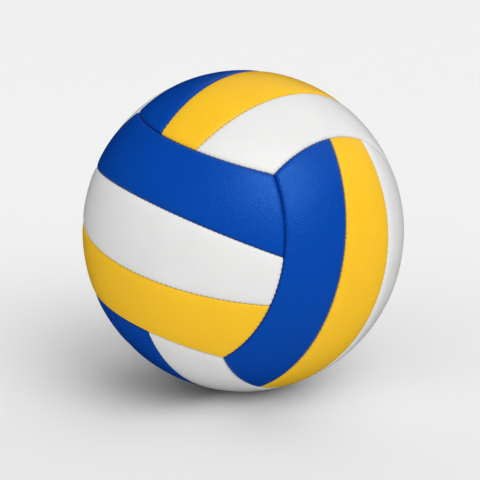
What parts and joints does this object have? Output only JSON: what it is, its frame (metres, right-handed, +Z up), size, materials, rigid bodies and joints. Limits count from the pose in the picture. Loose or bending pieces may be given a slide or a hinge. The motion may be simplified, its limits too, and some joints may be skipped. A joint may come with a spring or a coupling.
{
  "type": "volleyball",
  "caption": "Indoor volleyball with a sewn, padded leather cover in blue, yellow and white strips over a cloth lining and an inflated rubber bladder with a needle valve.",
  "frame": {"origin": "the middle of the ball", "axes": "+Z up, with the ball lying as it does when set down; the floor touches it at its lowest point, straight below the origin. -Y faces the side where the long seams of two groups of strips meet, and the valve is at the back right, a little below the ball's equator"},
  "size_m": [0.21, 0.21, 0.21],
  "materials": {
    "cover_blue": "satin, fine pebble grain",
    "cover_yellow": "satin, fine pebble grain",
    "cover_white": "satin, fine pebble grain",
    "padding": "matte, fine-celled foam",
    "thread": "twisted, lightly waxed",
    "lining": "plain woven cloth",
    "bladder": "matte, dusted",
    "valve": "satin",
    "valve_plug": "soft, matte",
    "patch": "matte"
  },
  "bodies": {
    "root": {"cover_front_left_edge_a": "cover_yellow", "cover_front_left_middle": "cover_white", "cover_front_left_edge_b": "cover_blue", "cover_front_right_edge_a": "cover_blue", "cover_front_right_middle": "cover_yellow", "cover_front_right_edge_b": "cover_white", "cover_top_edge_a": "cover_blue", "cover_top_middle": "cover_yellow", "cover_top_edge_b": "cover_white", "cover_bottom_edge_a": "cover_blue", "cover_bottom_middle": "cover_blue", "cover_bottom_edge_b": "cover_white", "cover_back_left_edge_a": "cover_white", "cover_back_left_middle": "cover_yellow", "cover_back_left_edge_b": "cover_blue", "cover_back_right_edge_a": "cover_white", "cover_back_right_middle": "cover_blue", "cover_back_right_edge_b": "cover_yellow", "foam_front_left_edge_a": "padding", "foam_front_left_middle": "padding", "foam_front_left_edge_b": "padding", "foam_front_right_edge_a": "padding", "foam_front_right_middle": "padding", "foam_front_right_edge_b": "padding", "foam_top_edge_a": "padding", "foam_top_middle": "padding", "foam_top_edge_b": "padding", "foam_bottom_edge_a": "padding", "foam_bottom_middle": "padding", "foam_bottom_edge_b": "padding", "foam_back_left_edge_a": "padding", "foam_back_left_middle": "padding", "foam_back_left_edge_b": "padding", "foam_back_right_edge_a": "padding", "foam_back_right_middle": "padding", "foam_back_right_edge_b": "padding", "thread_front_left": "thread", "thread_front_right": "thread", "thread_top": "thread", "thread_bottom": "thread", "thread_back_left": "thread", "thread_back_right": "thread", "lining": "lining", "bladder": "bladder", "valve_body": "valve", "valve_plug": "valve_plug", "valve_patch": "patch"}
  },
  "joints": []
}
